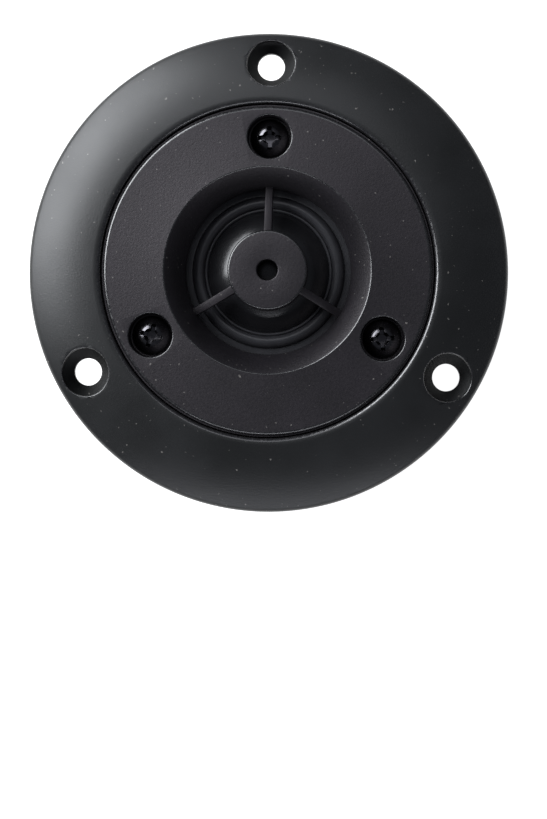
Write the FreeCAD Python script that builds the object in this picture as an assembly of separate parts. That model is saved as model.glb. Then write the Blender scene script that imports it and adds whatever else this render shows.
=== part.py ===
import FreeCAD, Part
import math
import os

# Horn-loaded dome tweeter lying on its back: +Z is the direction it plays,
# and the origin is the centre of the back plate's lower face. All in mm.
V = FreeCAD.Vector

# motor
BACK_R = 32.0
BACK_TOP = 3.2
SPIGOT_R = 8.0
POLE_R = 11.9
MAGNET_R = 35.6
MAGNET_BORE_R = 16.0
MAGNET_TOP = 16.7
TOP_PLATE_R = 32.2
TOP_PLATE_BORE_R = 13.4
TOP_PLATE_TOP = 20.0

# mounting flange
FLANGE_R = 48.0
SEAT_Z = 23.7
RIM_TOP = 27.0
WALL_R = 33.2
COLLAR_R = 35.6
LEDGE_R = 24.0
LEDGE_TOP = 23.0
CROWN_R = 37.9
CROWN_AXIS_R = 30.11
CROWN_AXIS_Z = -5.83
CROWN_OUT_R = 47.2
SHOULDER_R = 34.7
SHOULDER_ROUND = 2.8
SHOULDER_TURN = 100.0
SHELL = 2.4
RIM_WALL = 2.2
MOUNT_PITCH_R = 41.5
MOUNT_HOLE_R = 2.75
MOUNT_RECESS_R = 4.8
MOUNT_RECESS_Z = 27.0
MOUNT_BOSS_R = 6.2
RIB_ANGLES = (30, 60, 120, 150, 240, 270, 300)
RIB_THICK = 1.4

# horn plate
DISC_R = 32.65
DISC_ROUND = 0.7
FACE_Z = 31.7
MOUTH_TURN = 133.4
DISC_UNDER = 29.0
STEP_R = 33.0
STEP_Z = 30.9
THROAT_R = 16.7
HORN_END_Z = 22.6
HORN_TUBE_R = 22.4
FLARE_R = 14.1
FLARE_AXIS_R = 30.286
FLARE_AXIS_Z = 22.0
PLUG_R = 7.9
PLUG_TOP = 32.3
PLUG_BORE_R = 2.08
PLUG_GAP = 1.45
SPOKE_THICK = 1.6
SPOKE_END_R = 17.4

# screws that hold the plate, the flange and the motor together
SCREW_ANGLES = (90, 210, 330)
SCREW_TWISTS = (2, -15, 5)
SCREW_PITCH_R = 26.5
SCREW_R = 1.9
SCREW_HEAD_R = 3.9
SCREW_HEAD_H = 2.6
SCREW_HEAD_DOME = 4.6
SCREW_CROSS_R = 2.35
SCREW_CROSS_WIDTH = 0.84
SCREW_SEAT_Z = 28.0
SCREW_TIP_Z = 17.0
SCREW_HOLE_R = 2.1
SCREW_RECESS_R = 4.375
SCREW_BOSS_R = 5.3

# diaphragm and voice coil
DOME_BASE_R = 12.3
DOME_RADIUS = 18.75
DOME_TOP = 27.2
DOME_THICK = 0.25
FORMER_THICK = 0.15
FORMER_TOP = 22.4
FORMER_BOTTOM = 15.9
WINDING_OUT_R = 12.9
WINDING_BOTTOM = 16.7
WINDING_TOP = 19.9
SURROUND_FILM = 0.2
BEAD_OUT_R = 12.95
BEAD_HEIGHT = 0.35
ROLL_OUT_R = 15.5
ROLL_HEIGHT = 1.35
SURROUND_R = 17.0
RING_IN_R = 15.9
RING_OUT_R = 23.6
RING_TOP = 22.0
GASKET_IN_R = 17.2
GASKET_OUT_R = 22.6
PAD_R = 9.5
PAD_TOP = 22.5

# terminals and leads
TAB_X = 40.6
TAB_THICK = 0.8
TAB_WIDTH = 4.8
NECK_WIDTH = 4.0
TAB_END_Z = 5.2
TAB_SHOULDER_Z = 12.8
LUG_TOP = 22.8
LUG_WIDTH = 3.0
LUG_IN_X = 36.6
SLOT_R = 0.7
SLOT_LOW_Z = 7.3
SLOT_HIGH_Z = 9.4
TERMINAL_BOSS_IN = 38.3
TERMINAL_BOSS_OUT = 42.8
TERMINAL_BOSS_WIDTH = 9.0
TERMINAL_BOSS_BOTTOM = 19.6
GROOVE_HALF = 0.9
GROOVE_TOP = 21.2
WIRE_R = 0.25
WIRE_Z = 20.6
LEAD_R = 0.12
LEAD_END_R = 15.4


def at(radius, angle, z=0.0):
    """A point at a radius and an angle in degrees around the axis."""
    turn = math.radians(angle)
    return V(radius * math.cos(turn), radius * math.sin(turn), z)


def turned(path):
    """A solid of revolution; each step is (r, z), or (r, z, r, z) for an arc through its first point."""
    edges = []
    here = V(path[0][0], 0, path[0][1])
    for step in path[1:] + path[:1]:
        there = V(step[-2], 0, step[-1])
        if len(step) == 4:
            edges.append(Part.Arc(here, V(step[0], 0, step[1]), there).toShape())
        else:
            edges.append(Part.makeLine(here, there))
        here = there
    face = Part.Face(Part.Wire(edges))
    return face.revolve(V(0, 0, 0), V(0, 0, 1), 360)


def ring(inner_r, outer_r, z0, z1):
    """A plain ring between two radii and two heights."""
    return turned([(inner_r, z0), (outer_r, z0), (outer_r, z1), (inner_r, z1)])


def rod(radius, z0, z1, x=0.0, y=0.0):
    """An upright cylinder."""
    return Part.makeCylinder(radius, z1 - z0, V(x, y, z0))


def block(x0, x1, y0, y1, z0, z1):
    """A box between two corners."""
    return Part.makeBox(x1 - x0, y1 - y0, z1 - z0, V(x0, y0, z0))


def spun(shape, angle):
    """A copy turned around the axis."""
    copy = shape.copy()
    copy.rotate(V(0, 0, 0), V(0, 0, 1), angle)
    return copy


def crown_z(radius, depth=0.0):
    """Height of the flange's domed top, or of a surface at a depth below it."""
    reach = radius - CROWN_AXIS_R
    return CROWN_AXIS_Z + math.sqrt((CROWN_R - depth) ** 2 - reach ** 2)


def on_arc(axis_r, axis_z, radius, angle):
    """The radius and height of a point on a turned section's arc, by angle from outward."""
    turn = math.radians(angle)
    return axis_r + radius * math.cos(turn), axis_z + radius * math.sin(turn)


def back_plate():
    """Steel disc with eased edges and a bore for the pole's spigot."""
    ease = 0.5
    return turned([
        (SPIGOT_R, 0.0),
        (BACK_R - ease, 0.0),
        (BACK_R, ease),
        (BACK_R, BACK_TOP - ease),
        (BACK_R - ease, BACK_TOP),
        (SPIGOT_R, BACK_TOP),
    ])


def pole_piece():
    """Steel pole with a spigot pressed into the back plate."""
    return turned([
        (0.0, 0.3),
        (SPIGOT_R - 0.3, 0.3),
        (SPIGOT_R, 0.6),
        (SPIGOT_R, BACK_TOP),
        (POLE_R, BACK_TOP),
        (POLE_R, TOP_PLATE_TOP - 0.3),
        (POLE_R - 0.3, TOP_PLATE_TOP),
        (0.0, TOP_PLATE_TOP),
    ])


def magnet():
    """Ferrite ring with ground faces and bevelled rims."""
    ease = 0.7
    return turned([
        (MAGNET_BORE_R, BACK_TOP),
        (MAGNET_R - ease, BACK_TOP),
        (MAGNET_R, BACK_TOP + ease),
        (MAGNET_R, MAGNET_TOP - ease),
        (MAGNET_R - ease, MAGNET_TOP),
        (MAGNET_BORE_R, MAGNET_TOP),
    ])


def top_plate():
    """Front steel plate around the coil, tapped for the three screws."""
    ease = 0.3
    plate = turned([
        (TOP_PLATE_BORE_R, MAGNET_TOP),
        (TOP_PLATE_R - ease, MAGNET_TOP),
        (TOP_PLATE_R, MAGNET_TOP + ease),
        (TOP_PLATE_R, TOP_PLATE_TOP - ease),
        (TOP_PLATE_R - ease, TOP_PLATE_TOP),
        (TOP_PLATE_BORE_R, TOP_PLATE_TOP),
    ])
    for angle in SCREW_ANGLES:
        p = at(SCREW_PITCH_R, angle)
        plate = plate.cut(rod(SCREW_R, MAGNET_TOP - 1, TOP_PLATE_TOP + 1, p.x, p.y))
    return plate


def shoulder_steps():
    """The domed top's inner shoulder: a broad round, then a tight lip over the upright wall."""
    start = math.degrees(math.acos((SHOULDER_R - CROWN_AXIS_R) / CROWN_R))
    axis = on_arc(SHOULDER_R, crown_z(SHOULDER_R), -SHOULDER_ROUND, start)
    mid = on_arc(*axis, SHOULDER_ROUND, 0.5 * (start + SHOULDER_TURN))
    end = on_arc(*axis, SHOULDER_ROUND, SHOULDER_TURN)
    lip = (end[0] - WALL_R) / (1 + math.cos(math.radians(SHOULDER_TURN)))
    lip_axis = on_arc(*end, -lip, SHOULDER_TURN)
    lip_mid = on_arc(*lip_axis, lip, 0.5 * (SHOULDER_TURN + 180))
    return [mid + end, lip_mid + (WALL_R, lip_axis[1])]


def flange_shell():
    """The flange's turned section: ledge, collar, domed top and rim."""
    rim_in = FLANGE_R - RIM_WALL
    mid_under = 0.5 * (COLLAR_R + rim_in)
    mid_top = 0.5 * (SHOULDER_R + CROWN_OUT_R)
    return turned([
        (LEDGE_R, TOP_PLATE_TOP),
        (COLLAR_R, TOP_PLATE_TOP),
        (COLLAR_R, crown_z(COLLAR_R, SHELL)),
        (mid_under, crown_z(mid_under, SHELL), rim_in, crown_z(rim_in, SHELL)),
        (rim_in, SEAT_Z),
        (FLANGE_R - 0.3, SEAT_Z),
        (FLANGE_R, SEAT_Z + 0.3),
        (FLANGE_R, RIM_TOP),
        (FLANGE_R - 0.18, RIM_TOP + 0.62, CROWN_OUT_R, crown_z(CROWN_OUT_R)),
        (mid_top, crown_z(mid_top), SHOULDER_R, crown_z(SHOULDER_R)),
        *shoulder_steps(),
        (WALL_R, LEDGE_TOP),
        (LEDGE_R, LEDGE_TOP),
    ])


def flange_envelope():
    """Everything from just under the flange's domed top down to its seat."""
    inner_r = COLLAR_R - 0.4
    outer_r = FLANGE_R - 0.3
    mid_r = 0.5 * (inner_r + CROWN_OUT_R)
    depth = 0.4
    return turned([
        (inner_r, SEAT_Z),
        (outer_r, SEAT_Z),
        (outer_r, RIM_TOP),
        (CROWN_OUT_R, crown_z(CROWN_OUT_R, depth)),
        (mid_r, crown_z(mid_r, depth), inner_r, crown_z(inner_r, depth)),
    ])


def lies_along_x(edge):
    """Whether a straight edge runs along X."""
    a, b = edge.Vertexes
    return abs(a.Y - b.Y) < 1e-6 and abs(a.Z - b.Z) < 1e-6


def stands_upright(edge):
    """Whether a straight edge runs along Z."""
    a, b = edge.Vertexes
    return abs(a.X - b.X) < 1e-6 and abs(a.Y - b.Y) < 1e-6


def terminal_boss():
    """The block under the flange that grips one terminal."""
    half = TERMINAL_BOSS_WIDTH / 2
    body = block(TERMINAL_BOSS_IN, TERMINAL_BOSS_OUT, -half, half, TERMINAL_BOSS_BOTTOM, 29.0)
    return body.makeFillet(0.5, [e for e in body.Edges if stands_upright(e)])


def mount_recess():
    """A countersunk recess and through hole, drilled from above on the X axis."""
    step = MOUNT_RECESS_R - MOUNT_HOLE_R
    return turned([
        (0.0, SEAT_Z - 1),
        (MOUNT_HOLE_R, SEAT_Z - 1),
        (MOUNT_HOLE_R, MOUNT_RECESS_Z - step),
        (MOUNT_RECESS_R, MOUNT_RECESS_Z),
        (MOUNT_RECESS_R, FACE_Z + 2),
        (0.0, FACE_Z + 2),
    ])


def mounting_flange():
    """One plastic moulding that carries the plate, the terminals and the panel screws."""
    body = flange_shell()
    envelope = flange_envelope()
    inner = []
    for angle in RIB_ANGLES:
        rib = block(COLLAR_R - 0.5, FLANGE_R - 0.5, -RIB_THICK / 2, RIB_THICK / 2, SEAT_Z + 0.5, FACE_Z)
        inner.append(spun(rib, angle).common(envelope))
    for angle in SCREW_ANGLES:
        p = at(MOUNT_PITCH_R, angle)
        inner.append(rod(MOUNT_BOSS_R, SEAT_Z, FACE_Z, p.x, p.y).common(envelope))
    inner.append(terminal_boss())
    inner.append(spun(terminal_boss(), 180))
    body = body.fuse(inner)
    cuts = []
    for angle in SCREW_ANGLES:
        recess = mount_recess()
        recess.translate(at(MOUNT_PITCH_R, angle))
        cuts.append(recess)
        p = at(SCREW_PITCH_R, angle)
        cuts.append(rod(SCREW_HOLE_R, TOP_PLATE_TOP - 1, LEDGE_TOP + 1, p.x, p.y))
    groove = block(LEDGE_R - 1, COLLAR_R + 1, -GROOVE_HALF, GROOVE_HALF, TOP_PLATE_TOP - 1, GROOVE_TOP)
    for angle in (0, 180):
        cuts.append(spun(groove, angle))
        cuts.append(spun(terminal(), angle))
    return body.cut(cuts).removeSplitter()


def horn_body():
    """The disc with its stepped edge, rising a little to its horn mouth, as one turned section."""
    throat_turn = math.degrees(math.acos((THROAT_R - FLARE_AXIS_R) / FLARE_R))
    mouth = on_arc(FLARE_AXIS_R, FLARE_AXIS_Z, FLARE_R, MOUTH_TURN)
    bend = on_arc(FLARE_AXIS_R, FLARE_AXIS_Z, FLARE_R, 0.5 * (MOUTH_TURN + throat_turn))
    throat = on_arc(FLARE_AXIS_R, FLARE_AXIS_Z, FLARE_R, throat_turn)
    rim_mid = on_arc(DISC_R - DISC_ROUND, FACE_Z - DISC_ROUND, DISC_ROUND, 45)
    return turned([
        (THROAT_R, HORN_END_Z),
        (HORN_TUBE_R, HORN_END_Z),
        (HORN_TUBE_R, DISC_UNDER),
        (STEP_R - 0.3, DISC_UNDER),
        (STEP_R, DISC_UNDER + 0.3),
        (STEP_R, STEP_Z),
        (DISC_R, STEP_Z),
        (DISC_R, FACE_Z - DISC_ROUND),
        rim_mid + (DISC_R - DISC_ROUND, FACE_Z),
        mouth,
        bend + throat,
    ])


def phase_plug():
    """The bored plug over the dome, hollowed underneath to follow it."""
    centre_z = DOME_TOP - DOME_RADIUS
    under = DOME_RADIUS + PLUG_GAP
    side_r = PLUG_R + 0.1
    mid_r = 0.5 * (side_r + PLUG_BORE_R)
    bore_z = centre_z + math.sqrt(under ** 2 - PLUG_BORE_R ** 2)
    mid_z = centre_z + math.sqrt(under ** 2 - mid_r ** 2)
    side_z = centre_z + math.sqrt(under ** 2 - side_r ** 2)
    return turned([
        (PLUG_BORE_R, bore_z),
        (mid_r, mid_z, side_r, side_z),
        (PLUG_R, PLUG_TOP - 0.3),
        (PLUG_R - 0.088, PLUG_TOP - 0.088, PLUG_R - 0.3, PLUG_TOP),
        (PLUG_BORE_R + 0.2, PLUG_TOP),
        (PLUG_BORE_R, PLUG_TOP - 0.2),
    ])


def spoke():
    """One thin web from the plug to the horn wall, along +X."""
    half = SPOKE_THICK / 2
    root_r = PLUG_R - 0.5
    a = V(root_r, -half, 31.7)
    b = V(PLUG_R, -half, 31.7)
    c = V(SPOKE_END_R, -half, 26.2)
    d = V(SPOKE_END_R, -half, 25.0)
    e = V(root_r, -half, 27.4)
    edges = [
        Part.makeLine(a, b),
        Part.Arc(b, V(12.0, -half, 29.0), c).toShape(),
        Part.makeLine(c, d),
        Part.makeLine(d, e),
        Part.makeLine(e, a),
    ]
    return Part.Face(Part.Wire(edges)).extrude(V(0, SPOKE_THICK, 0))


def horn_plate():
    """One moulding: disc, horn mouth, three spokes, phase plug and screw bosses."""
    extra = [phase_plug()]
    cuts = []
    for angle in SCREW_ANGLES:
        p = at(SCREW_PITCH_R, angle)
        boss = rod(SCREW_BOSS_R, LEDGE_TOP, DISC_UNDER + 1, p.x, p.y)
        extra.append(boss.cut(rod(HORN_TUBE_R - 1, 0, FACE_Z)))
        extra.append(spun(spoke(), angle))
        cuts.append(rod(SCREW_HOLE_R, LEDGE_TOP - 1, FACE_Z, p.x, p.y))
        cuts.append(rod(SCREW_RECESS_R, SCREW_SEAT_Z, FACE_Z + 1, p.x, p.y))
    return horn_body().fuse(extra).cut(cuts).removeSplitter()


def assembly_screw(angle, twist):
    """A domed-head machine screw with a cross recess turned by twist."""
    top = SCREW_SEAT_Z + SCREW_HEAD_H
    centre_z = top - SCREW_HEAD_DOME
    mid_r = 0.5 * SCREW_HEAD_R
    body = turned([
        (0.0, SCREW_TIP_Z),
        (SCREW_R - 0.4, SCREW_TIP_Z),
        (SCREW_R, SCREW_TIP_Z + 0.4),
        (SCREW_R, SCREW_SEAT_Z),
        (SCREW_HEAD_R, SCREW_SEAT_Z),
        (SCREW_HEAD_R, centre_z + math.sqrt(SCREW_HEAD_DOME ** 2 - SCREW_HEAD_R ** 2)),
        (mid_r, centre_z + math.sqrt(SCREW_HEAD_DOME ** 2 - mid_r ** 2), 0.0, top),
    ])
    half = SCREW_CROSS_WIDTH / 2
    for turn in (twist, twist + 90):
        slot = block(-SCREW_CROSS_R, SCREW_CROSS_R, -half, half, top - 1.6, top + 1)
        body = body.cut(spun(slot, turn))
    body.translate(at(SCREW_PITCH_R, angle))
    return body


def dome():
    """The thin dome, a cap of a sphere."""
    centre_z = DOME_TOP - DOME_RADIUS
    inner = DOME_RADIUS - DOME_THICK
    mid = 0.5 * DOME_BASE_R
    return turned([
        (0.0, DOME_TOP - DOME_THICK),
        (
            mid,
            centre_z + math.sqrt(inner ** 2 - mid ** 2),
            DOME_BASE_R,
            centre_z + math.sqrt(inner ** 2 - DOME_BASE_R ** 2),
        ),
        (DOME_BASE_R, centre_z + math.sqrt(DOME_RADIUS ** 2 - DOME_BASE_R ** 2)),
        (mid, centre_z + math.sqrt(DOME_RADIUS ** 2 - mid ** 2), 0.0, DOME_TOP),
    ])


def surround():
    """The glue bead at the dome's foot and the half roll from there to its glued rim."""
    foot_r = BEAD_OUT_R
    film = SURROUND_FILM
    mid = 0.5 * (foot_r + ROLL_OUT_R)
    bead_r = 0.5 * (DOME_BASE_R + foot_r)
    crest = RING_TOP + film + ROLL_HEIGHT
    return turned([
        (DOME_BASE_R, FORMER_TOP),
        (foot_r, FORMER_TOP),
        (mid, crest - film, ROLL_OUT_R, RING_TOP),
        (SURROUND_R, RING_TOP),
        (SURROUND_R, RING_TOP + film),
        (ROLL_OUT_R + 0.15, RING_TOP + film),
        (mid, crest, foot_r, FORMER_TOP + film),
        (bead_r, FORMER_TOP + film + BEAD_HEIGHT, DOME_BASE_R, FORMER_TOP + film),
    ])


def diaphragm_ring():
    """The carrier ring that the surround is glued to, grooved for the leads."""
    body = ring(RING_IN_R, RING_OUT_R, TOP_PLATE_TOP, RING_TOP)
    groove = block(RING_IN_R - 1, RING_OUT_R + 1, -GROOVE_HALF, GROOVE_HALF, TOP_PLATE_TOP - 1, GROOVE_TOP)
    return body.cut([groove, spun(groove, 180)])


def terminal():
    """One push-on tab with a slotted end, and a lug bent inwards for the wire."""
    x0 = TAB_X - TAB_THICK / 2
    x1 = TAB_X + TAB_THICK / 2
    half = TAB_WIDTH / 2
    neck = NECK_WIDTH / 2
    blade = block(x0, x1, -half, half, TAB_END_Z, TAB_SHOULDER_Z)
    corners = [e for e in blade.Edges if lies_along_x(e) and abs(e.Vertexes[0].Z - TAB_END_Z) < 1e-6]
    blade = blade.makeFillet(1.2, corners)
    stem = block(x0, x1, -neck, neck, TAB_SHOULDER_Z, LUG_TOP)
    lug = block(LUG_IN_X, x1, -LUG_WIDTH / 2, LUG_WIDTH / 2, LUG_TOP - TAB_THICK, LUG_TOP)
    cuts = [block(x0 - 1, x1 + 1, -SLOT_R, SLOT_R, SLOT_LOW_Z, SLOT_HIGH_Z)]
    for z in (SLOT_LOW_Z, SLOT_HIGH_Z):
        cuts.append(Part.makeCylinder(SLOT_R, TAB_THICK + 2, V(x0 - 1, 0, z), V(1, 0, 0)))
    return blade.fuse([stem, lug]).cut(cuts).removeSplitter()


def wire_along(edges, start, along, radius):
    """A round wire swept along joined edges from its first point."""
    end = Part.Wire([Part.makeCircle(radius, start, along)])
    return Part.Wire(edges).makePipeShell([end], True, False)


def lead_wire():
    """The wire that lies in the groove and turns up to the terminal's lug."""
    bend = 1.2
    rise_x = LUG_IN_X + 0.8
    start = V(LEAD_END_R, 0, WIRE_Z)
    turn_from = V(rise_x - bend, 0, WIRE_Z)
    turn_to = V(rise_x, 0, WIRE_Z + bend)
    turn_mid = V(rise_x - bend * (1 - math.sqrt(0.5)), 0, WIRE_Z + bend * (1 - math.sqrt(0.5)))
    edges = [
        Part.makeLine(start, turn_from),
        Part.Arc(turn_from, turn_mid, turn_to).toShape(),
        Part.makeLine(turn_to, V(rise_x, 0, LUG_TOP - TAB_THICK)),
    ]
    return wire_along(edges, start, V(1, 0, 0), WIRE_R)


def coil_lead():
    """The fine flexing lead from the top of the winding to the fixed wire."""
    start = V(12.68, 0, WINDING_TOP)
    points = [start, V(12.75, 0, 20.6), V(13.4, 0, 21.3), V(14.3, 0, 21.15), V(LEAD_END_R, 0, WIRE_Z)]
    curve = Part.BSplineCurve()
    curve.interpolate(Points=points, InitialTangent=V(0, 0, 1), FinalTangent=V(1, 0, 0))
    return wire_along([curve.toShape()], start, V(0, 0, 1), LEAD_R)


nodes = {
    "back_plate": back_plate(),
    "pole_piece": pole_piece(),
    "magnet": magnet(),
    "top_plate": top_plate(),
    "mounting_flange": mounting_flange(),
    "horn_plate": horn_plate(),
    "dome": dome(),
    "surround": surround(),
    "coil_former": ring(DOME_BASE_R, DOME_BASE_R + FORMER_THICK, FORMER_BOTTOM, FORMER_TOP),
    "coil_winding": ring(DOME_BASE_R + FORMER_THICK, WINDING_OUT_R, WINDING_BOTTOM, WINDING_TOP),
    "diaphragm_ring": diaphragm_ring(),
    "diaphragm_gasket": ring(GASKET_IN_R, GASKET_OUT_R, RING_TOP, HORN_END_Z),
    "damping_pad": rod(PAD_R, TOP_PLATE_TOP, PAD_TOP),
}
for number, (angle, twist) in enumerate(zip(SCREW_ANGLES, SCREW_TWISTS), 1):
    nodes[f"assembly_screw_{number}"] = assembly_screw(angle, twist)
for side, angle in (("positive", 0), ("negative", 180)):
    nodes[f"terminal_{side}"] = spun(terminal(), angle)
    nodes[f"lead_wire_{side}"] = spun(lead_wire(), angle)
    nodes[f"coil_lead_{side}"] = spun(coil_lead(), angle)

os.makedirs("parts", exist_ok=True)
for name, shape in nodes.items():
    solid = shape.Solids[0]
    if len(shape.Solids) != 1 or not shape.isValid() or not shape.isClosed():
        raise ValueError(f"{name} isn't one closed solid")
    solid.exportStep(f"parts/{name}.step")
    box = solid.optimalBoundingBox()
    print(f"{name}: {solid.Volume:.1f} mm3, z {box.ZMin:.2f} to {box.ZMax:.2f}, r {box.XMax:.2f}")
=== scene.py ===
import math

import bpy
from mathutils import Matrix, Vector


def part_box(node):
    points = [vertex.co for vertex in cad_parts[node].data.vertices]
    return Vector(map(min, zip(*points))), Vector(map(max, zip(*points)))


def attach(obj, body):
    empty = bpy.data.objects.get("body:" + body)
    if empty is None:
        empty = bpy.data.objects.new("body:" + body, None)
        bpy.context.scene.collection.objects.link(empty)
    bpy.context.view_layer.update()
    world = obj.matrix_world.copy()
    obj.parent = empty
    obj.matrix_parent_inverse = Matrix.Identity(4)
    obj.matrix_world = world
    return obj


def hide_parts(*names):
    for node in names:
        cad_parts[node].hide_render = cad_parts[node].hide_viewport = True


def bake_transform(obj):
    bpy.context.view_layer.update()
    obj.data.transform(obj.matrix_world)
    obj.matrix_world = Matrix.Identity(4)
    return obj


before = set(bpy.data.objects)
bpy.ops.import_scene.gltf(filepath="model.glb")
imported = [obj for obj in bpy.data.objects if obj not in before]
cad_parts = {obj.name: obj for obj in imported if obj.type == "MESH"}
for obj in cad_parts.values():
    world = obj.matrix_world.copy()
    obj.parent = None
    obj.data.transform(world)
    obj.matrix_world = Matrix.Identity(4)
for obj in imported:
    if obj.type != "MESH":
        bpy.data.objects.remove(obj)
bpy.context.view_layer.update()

# Lengths below are in millimetres and are turned to metres as a piece is made.
MM = 0.001
TURN_STEPS = 240


def reach(node):
    """A round part's outer radius."""
    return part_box(node)[1][0] / MM


def low(node):
    """Height of a part's lowest point."""
    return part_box(node)[0][2] / MM


def high(node):
    """Height of a part's highest point."""
    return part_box(node)[1][2] / MM


# ---------------------------------------------------------------- sizes
SCREW_ANGLES = (90, 210, 330)
SCREW_TWISTS = (2, -15, 5)
SCREW_PITCH_R = 26.5
SCREW_SEAT = 28.0
SCREW_SHANK_R = 1.9
SCREW_HEAD_R = 3.9
SCREW_HEAD_ROUND = 0.2
SCREW_HEAD_DOME = 4.6
SCREW_HOLE_R = 2.1
SCREW_BOSS_R = 5.3
RECESS_R = 4.375
MOUNT_PITCH_R = 41.5
MOUNT_HOLE_R = 2.75
MOUNT_BOSS_R = 6.2
MOUNT_RECESS_R = 4.8
MOUNT_RECESS_Z = 27.0

FLANGE_R = reach("mounting_flange")
FLANGE_SEAT = 23.7
LEDGE_R = 24.0
LEDGE_LOW = high("top_plate")
LEDGE_TOP = 23.0
COLLAR_R = 35.6
WALL_R = 33.2
SHELL = 2.4
RIM_IN_R = FLANGE_R - 2.2
CROWN_AXIS = (30.11, -5.83)
CROWN_R = 37.9
CROWN_OUT = 63.2
CROWN_IN = 83.04
SHOULDER_ROUND = 2.8
SHOULDER_TURN = 100.0
RIB_ANGLES = (30, 60, 120, 150, 240, 270, 300)
RIB_HALF = 0.7
BLOCK_IN_X = 38.3
BLOCK_OUT_X = 42.8
BLOCK_HALF = 4.5
BLOCK_LOW = 19.6
UNTRIMMED_TOP = 33.0

STEP_R = reach("horn_plate")
STEP_Z = 30.9
DISC_R = 32.65
DISC_ROUND = 0.7
FACE = 31.7
FACE_TILT = 2.5
MOUTH_R = 20.735
LIP_ROUND = 0.4
RISE_FROM_R = 18.0
DISC_UNDER = 29.0
HORN_END = low("horn_plate")
TUBE_R = 22.4
THROAT_R = 16.7
THROAT_TURN = 164.5
MOUTH_TURN = 134.3
FLARE_AXIS = (30.286, 22.0)
FLARE_R = 14.1
PLUG_R = 7.9
PLUG_TOP = high("horn_plate")
PLUG_BORE_R = 2.08
PLUG_ROUND = 0.45
SPOKE_HALF = 0.8
SPOKE_TOP = 31.7
SPOKE_ROOT_R = 7.2
SPOKE_ROOT_LOW = 27.5
SPOKE_END_R = 17.5
SPOKE_END_TOP = 26.2
SPOKE_END_LOW = 25.0
SPOKE_HOLLOW = 1.2

DOME_TOP = high("dome")
DOME_SPHERE = 18.75
DOME_BASE_R = 12.3
BEAD_OUT_R = 12.95
BEAD_HEIGHT = 0.35
FORMER_TOP = high("coil_former")
RING_TOP = high("diaphragm_ring")
FILM = 0.2
ROLL_OUT_R = 15.5
ROLL_TOP = high("surround")
SURROUND_R = reach("surround")

MAGNET_BORE_R = 16.0
TOP_PLATE_BORE_R = 13.4
SPIGOT_R = 8.0

TAB_IN_X = 40.2
TAB_THICK = 0.8
TAB_HALF = 2.4
NECK_HALF = 2.0
TAB_SHOULDER = 12.8
SLOT_R = 0.7
SLOT_LOW = 7.3
SLOT_HIGH = 9.4
LUG_IN_X = 36.6
LUG_HALF = 1.5

# height that the camera and the lights aim at, on the axis
AIM = 32.0


# ---------------------------------------------------------------- modelling
def arc(centre, radius, start, end, count):
    """Points on an arc in the (r, z) plane, by angle from the outward direction."""
    points = []
    for step in range(count + 1):
        turn = math.radians(start + (end - start) * step / count)
        points.append((centre[0] + radius * math.cos(turn), centre[1] + radius * math.sin(turn)))
    return points


def deselect_everything():
    """Clears the selection, because operators act on all that is selected."""
    bpy.ops.object.select_all(action="DESELECT")


def make_active(piece):
    """Selects one piece alone."""
    deselect_everything()
    piece.select_set(True)
    bpy.context.view_layer.objects.active = piece


def draw(name, points):
    """Starts a piece from a small plane pinched to one vertex, extruded from point to point."""
    deselect_everything()
    bpy.ops.mesh.primitive_plane_add(size=0.002)
    piece = bpy.context.object
    piece.name = name
    piece.data.name = name
    bpy.ops.object.mode_set(mode="EDIT")
    bpy.ops.mesh.select_all(action="SELECT")
    bpy.ops.mesh.merge(type="CENTER")
    here = Vector(points[0]) * MM
    bpy.ops.transform.translate(value=here)
    for point in points[1:]:
        there = Vector(point) * MM
        bpy.ops.mesh.extrude_region_move(TRANSFORM_OT_translate={"value": there - here})
        here = there
    return piece


def close_up():
    """Merges what meets, points the faces outwards and leaves edit mode."""
    bpy.ops.mesh.select_all(action="SELECT")
    bpy.ops.mesh.remove_doubles(threshold=2e-6)
    bpy.ops.mesh.normals_make_consistent(inside=False)
    bpy.ops.object.mode_set(mode="OBJECT")


def rod_outline(radius, bottom, top):
    """The outline of a plain rod between two heights."""
    return [(0, bottom), (radius, bottom), (radius, top), (0, top)]


def lathe(name, outline, steps=TURN_STEPS):
    """A closed outline of (r, z) points, or one that starts and ends on the axis, spun round it."""
    piece = draw(name, [(r, 0, z) for r, z in outline])
    bpy.ops.mesh.select_all(action="SELECT")
    bpy.ops.mesh.spin(steps=steps, angle=2 * math.pi, center=(0, 0, 0), axis=(0, 0, 1))
    close_up()
    return piece


def plate(name, outline, thickness):
    """A flat outline of 3-D points filled and extruded by a thickness vector."""
    piece = draw(name, outline + outline[:1])
    bpy.ops.mesh.select_all(action="SELECT")
    bpy.ops.mesh.remove_doubles(threshold=2e-6)
    bpy.ops.mesh.edge_face_add()
    bpy.ops.mesh.extrude_region_move(TRANSFORM_OT_translate={"value": Vector(thickness) * MM})
    close_up()
    return piece


def apply_modifier(piece, kind, **settings):
    """Adds a modifier with its settings and applies it."""
    make_active(piece)
    modifier = piece.modifiers.new(kind.lower(), kind)
    for key, value in settings.items():
        setattr(modifier, key, value)
    bpy.ops.object.modifier_apply(modifier=modifier.name)


def combine(piece, tool, operation):
    """Joins a tool to a piece or cuts it away, then discards the tool."""
    apply_modifier(piece, "BOOLEAN", operation=operation, solver="EXACT", object=tool)
    bpy.data.objects.remove(tool)


def soften(piece, width, segments=2, limit=35):
    """Rounds a piece's sharp edges by a small bevel."""
    apply_modifier(
        piece, "BEVEL", width=width * MM, segments=segments, limit_method="ANGLE",
        angle_limit=math.radians(limit), use_clamp_overlap=True,
    )


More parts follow.
